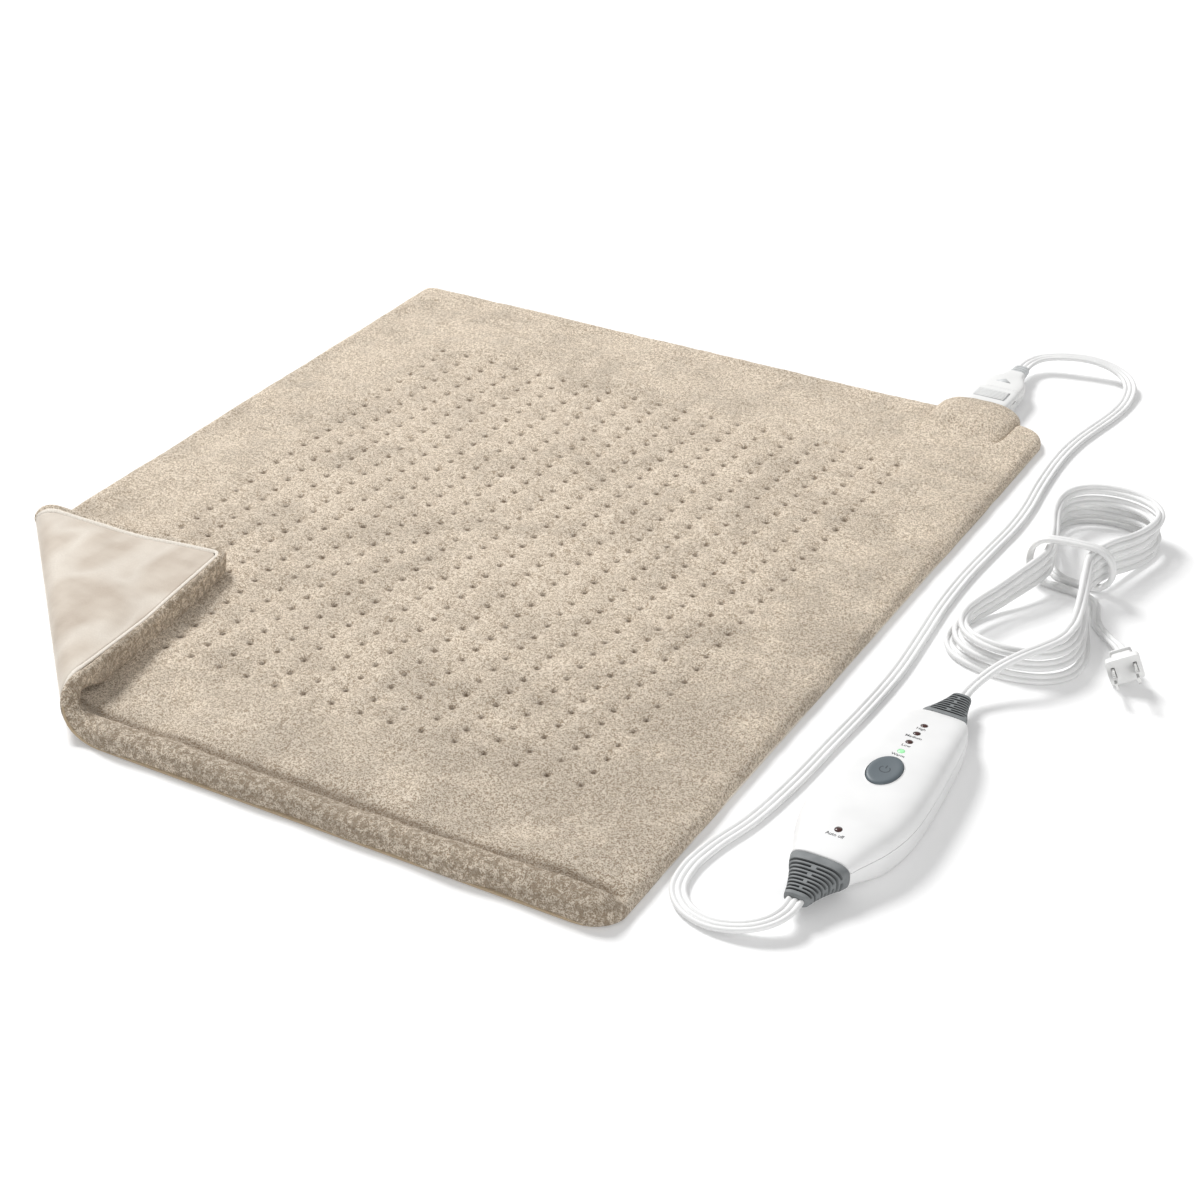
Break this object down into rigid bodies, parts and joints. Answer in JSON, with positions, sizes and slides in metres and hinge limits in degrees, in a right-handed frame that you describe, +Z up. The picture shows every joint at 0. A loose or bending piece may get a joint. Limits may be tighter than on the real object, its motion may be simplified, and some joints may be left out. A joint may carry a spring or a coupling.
{
  "type": "heating pad",
  "caption": "Quilted plush heating pad with one corner folded over, a detachable hand controller on a flat cord, and a supply cord coiled in a hank with a mains plug.",
  "frame": {"origin": "on the floor, under the centre of the pad as it lies with its corner unfolded", "axes": "+Z up; +Y towards the pad's edge with the connector; +X towards the side where the cord and the controller lie"},
  "size_m": [0.6695, 0.7288, 0.0329],
  "materials": {
    "plush": "short warm beige plush, quilted",
    "velvet": "smooth brushed backing, pale beige",
    "felt": "white needle felt",
    "wire_jacket": "red silicone jacket",
    "white_plastic": "white, satin gloss",
    "cord_jacket": "white soft vinyl",
    "grey_rubber": "grey, matt",
    "blue_plastic": "blue-grey, satin",
    "dark_lens": "dark red lens, unlit",
    "lit_lens": "green lens, lit",
    "black_plastic": "black, matt",
    "board_green": "green board",
    "steel": "plated",
    "brass": "bright"
  },
  "bodies": {
    "pad": {"pad_cover_top": "plush", "pad_cover_backing": "velvet", "heater_carrier": "felt", "heating_wire": "wire_jacket", "pad_thermostat": "black_plastic", "connector_sleeve": "plush", "receptacle_upper_shell": "white_plastic", "receptacle_lower_shell": "white_plastic", "receptacle_pin_block": "black_plastic", "receptacle_pin_1": "brass", "receptacle_pin_2": "brass", "receptacle_pin_3": "brass"},
    "control_set": {"connector_upper_shell": "white_plastic", "connector_lower_shell": "white_plastic", "connector_nose": "white_plastic", "connector_relief": "white_plastic", "controller_top_shell": "white_plastic", "controller_bottom_shell": "white_plastic", "plug_body": "white_plastic", "lead_cord": "cord_jacket", "supply_cord_lead": "cord_jacket", "supply_cord_hank": "cord_jacket", "supply_cord_tail": "cord_jacket", "lead_boot": "grey_rubber", "supply_boot": "grey_rubber", "led_high": "dark_lens", "led_medium": "dark_lens", "led_low": "dark_lens", "led_auto_off": "dark_lens", "led_warm": "lit_lens", "tact_switch": "black_plastic", "film_capacitor": "black_plastic", "control_chip": "black_plastic", "triac_body": "black_plastic", "surge_block": "black_plastic", "circuit_board": "board_green", "housing_screw_1": "steel", "housing_screw_2": "steel", "housing_screw_3": "steel", "housing_screw_4": "steel", "mains_fuse": "steel", "plug_blade_1": "steel", "plug_blade_2": "steel", "connector_contact_1": "brass", "connector_contact_2": "brass", "connector_contact_3": "brass"},
    "power_button": {"power_button": "blue_plastic"},
    "latch_left": {"latch_left": "white_plastic"},
    "latch_right": {"latch_right": "white_plastic"}
  },
  "joints": [
    {"name": "connector_pull", "type": "slide", "parent": "pad", "child": "control_set", "axis": [0, 1, 0], "range_m": [0, 0.02]},
    {"name": "button_press", "type": "slide", "parent": "control_set", "child": "power_button", "axis": [0, 0, -1], "range_m": [0, 0.0008], "stiffness_N_per_m": 2500},
    {"name": "latch_left_press", "type": "slide", "parent": "pad", "child": "latch_left", "axis": [1, 0, 0], "range_m": [0, 0.0008], "stiffness_N_per_m": 3000},
    {"name": "latch_right_press", "type": "slide", "parent": "pad", "child": "latch_right", "axis": [-1, 0, 0], "range_m": [0, 0.0008], "stiffness_N_per_m": 3000}
  ]
}
